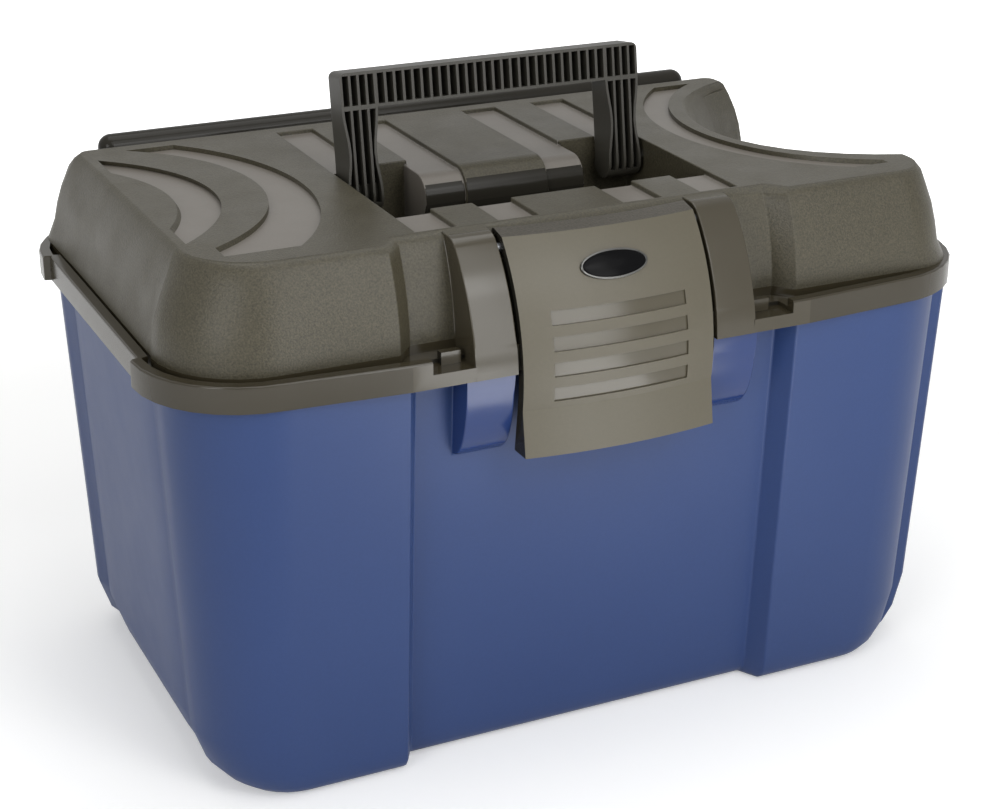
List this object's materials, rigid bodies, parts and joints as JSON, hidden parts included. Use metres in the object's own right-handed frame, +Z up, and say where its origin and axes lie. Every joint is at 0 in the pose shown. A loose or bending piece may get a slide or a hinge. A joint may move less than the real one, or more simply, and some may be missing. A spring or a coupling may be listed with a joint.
{
  "type": "horse grooming box",
  "caption": "Moulded carry box for grooming kit: deep drafted tub, domed lid on rear hinges with a fold-down handle in a well, a front latch flap and a lift-out tray.",
  "frame": {"origin": "on the floor under the middle of the lid's rim", "axes": "+X right along the front, -Y towards the latch, +Z up"},
  "size_m": [0.4, 0.2616, 0.2981],
  "materials": {
    "blue_plastic": "fine satin moulding",
    "taupe_plastic": "satin moulding with polished recesses",
    "latch_plastic": "satin moulding",
    "handle_plastic": "satin moulding",
    "tray_plastic": "satin moulding",
    "badge": "gloss",
    "steel": "drawn"
  },
  "bodies": {
    "tub_body": {"tub": "blue_plastic", "hinge_pin_left": "steel", "hinge_pin_right": "steel"},
    "lid_body": {"lid": "taupe_plastic", "latch_pin": "steel", "handle_pin_left": "steel", "handle_pin_right": "steel"},
    "latch_body": {"latch_flap": "latch_plastic", "latch_badge": "badge"},
    "handle_body": {"handle": "handle_plastic"},
    "tray_body": {"lift_out_tray": "tray_plastic"}
  },
  "joints": [
    {"name": "lid_hinge", "type": "hinge", "parent": "tub_body", "child": "lid_body", "pos_m": [0, 0.121, 0.1885], "axis": [-1, 0, 0], "range_deg": [0, 105]},
    {"name": "latch_swing", "type": "hinge", "parent": "lid_body", "child": "latch_body", "pos_m": [0, -0.1065, 0.244], "axis": [-1, 0, 0], "range_deg": [0, 80]},
    {"name": "handle_fold", "type": "hinge", "parent": "lid_body", "child": "handle_body", "pos_m": [0, 0, 0.241], "axis": [1, 0, 0], "range_deg": [0, 96]},
    {"name": "tray_lift", "type": "slide", "parent": "tub_body", "child": "tray_body", "axis": [0, 0, 1], "range_m": [0, 0.008]}
  ]
}
